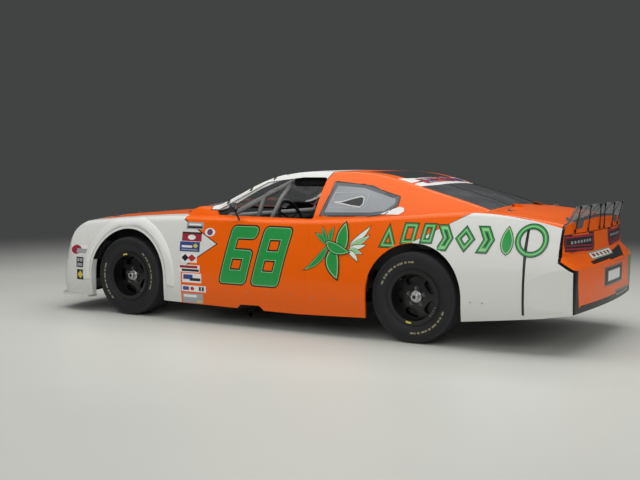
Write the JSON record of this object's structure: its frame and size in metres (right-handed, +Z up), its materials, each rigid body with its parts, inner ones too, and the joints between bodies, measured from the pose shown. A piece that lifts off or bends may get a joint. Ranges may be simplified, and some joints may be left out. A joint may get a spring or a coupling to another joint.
{
  "type": "stock car",
  "caption": "Full-size tube-framed stock car with sheet body panels, tail spoiler, roll cage, steered front wheels, and a hood and decklid that open.",
  "frame": {"origin": "on the ground, in the middle of the car's outline seen from above", "axes": "+X forward along the car, +Y to the driver's left, +Z up"},
  "size_m": [4.9466, 1.9589, 1.2833],
  "materials": {
    "body_paint": "gloss",
    "white_paint": "gloss",
    "window_plastic": "clear",
    "smoked_plastic": "clear",
    "black_metal": "satin",
    "sheet_metal": "satin",
    "grey_paint": "satin",
    "cast_metal": "cast",
    "steel": "satin",
    "black_plastic": "matte",
    "fabric": "woven",
    "tyre": "matte",
    "brake_steel": "machined"
  },
  "bodies": {
    "chassis": {"front_bumper_cover": "white_paint", "front_grille": "black_metal", "front_splitter": "white_paint", "rear_bumper_cover": "body_paint", "cowl_panel": "body_paint", "tulip_panel": "body_paint", "left_front_fender": "white_paint", "right_front_fender": "white_paint", "left_door": "body_paint", "right_door": "body_paint", "left_quarter_panel": "body_paint", "right_quarter_panel": "body_paint", "left_sail_panel": "body_paint", "right_sail_panel": "body_paint", "roof_panel": "body_paint", "windshield": "window_plastic", "rear_window": "window_plastic", "quarter_windows": "window_plastic", "hood_hinges": "black_metal", "decklid_hinges": "black_metal", "frame_rails": "black_metal", "floor_pan": "sheet_metal", "bulkheads": "sheet_metal", "front_suspension": "black_metal", "rear_suspension": "black_metal", "steering_rack": "black_metal", "radiator": "cast_metal", "engine_block": "cast_metal", "drivetrain": "black_metal", "rear_axle": "black_metal", "fuel_cell": "black_metal", "exhaust_pipes": "steel", "roll_cage": "grey_paint", "racing_seat": "black_plastic", "seat_cushion": "fabric", "steering_column": "black_metal", "dashboard": "sheet_metal", "side_mirror": "black_metal"},
    "hood": {"hood": "body_paint"},
    "decklid": {"decklid": "body_paint", "spoiler": "smoked_plastic", "spoiler_braces": "black_metal"},
    "steering_wheel": {"steering_wheel": "black_metal"},
    "tie_rods": {"tie_rods": "black_metal"},
    "left_knuckle": {"left_knuckle": "black_metal"},
    "right_knuckle": {"right_knuckle": "black_metal"},
    "front_left_wheel": {"front_left_tyre": "tyre", "front_left_rim": "black_metal", "front_left_brake_disc": "brake_steel"},
    "front_right_wheel": {"front_right_tyre": "tyre", "front_right_rim": "black_metal", "front_right_brake_disc": "brake_steel"},
    "rear_left_wheel": {"rear_left_tyre": "tyre", "rear_left_rim": "black_metal", "rear_left_brake_disc": "brake_steel"},
    "rear_right_wheel": {"rear_right_tyre": "tyre", "rear_right_rim": "black_metal", "rear_right_brake_disc": "brake_steel"}
  },
  "joints": [
    {"name": "left_steer", "type": "hinge", "parent": "chassis", "child": "left_knuckle", "pos_m": [1.5135, 0.722, 0.345], "axis": [0, 0, 1], "range_deg": [-22, 22]},
    {"name": "right_steer", "type": "hinge", "parent": "chassis", "child": "right_knuckle", "pos_m": [1.5135, -0.722, 0.345], "axis": [0, 0, 1], "range_deg": [-22, 22]},
    {"name": "tie_rod_slide", "type": "slide", "parent": "chassis", "child": "tie_rods", "axis": [0, 1, 0], "range_m": [-0.04, 0.04]},
    {"name": "steering_wheel_turn", "type": "hinge", "parent": "chassis", "child": "steering_wheel", "pos_m": [0.14792, 0.388, 0.85559], "axis": [-0.9264, 0, 0.3765], "range_deg": [-270, 270]},
    {"name": "hood_hinge", "type": "hinge", "parent": "chassis", "child": "hood", "pos_m": [0.9905, 0, 0.951], "axis": [0, -1, 0], "range_deg": [0, 60]},
    {"name": "decklid_hinge", "type": "hinge", "parent": "chassis", "child": "decklid", "pos_m": [-1.7785, 0, 1.028], "axis": [0, 1, 0], "range_deg": [0, 60]},
    {"name": "front_left_spin", "type": "hinge", "parent": "left_knuckle", "child": "front_left_wheel", "pos_m": [1.5135, 0.777, 0.345], "axis": [0, 1, 0], "continuous": true},
    {"name": "front_right_spin", "type": "hinge", "parent": "right_knuckle", "child": "front_right_wheel", "pos_m": [1.5135, -0.777, 0.345], "axis": [0, 1, 0], "continuous": true},
    {"name": "rear_left_spin", "type": "hinge", "parent": "chassis", "child": "rear_left_wheel", "pos_m": [-1.2265, 0.777, 0.345], "axis": [0, 1, 0], "continuous": true},
    {"name": "rear_right_spin", "type": "hinge", "parent": "chassis", "child": "rear_right_wheel", "pos_m": [-1.2265, -0.777, 0.345], "axis": [0, 1, 0], "continuous": true}
  ],
  "couplings": [
    {"joint": "right_steer", "follows": "left_steer", "ratio": 1},
    {"joint": "tie_rod_slide", "follows": "left_steer", "m_per_rad": -0.095},
    {"joint": "steering_wheel_turn", "follows": "left_steer", "ratio": 12}
  ]
}
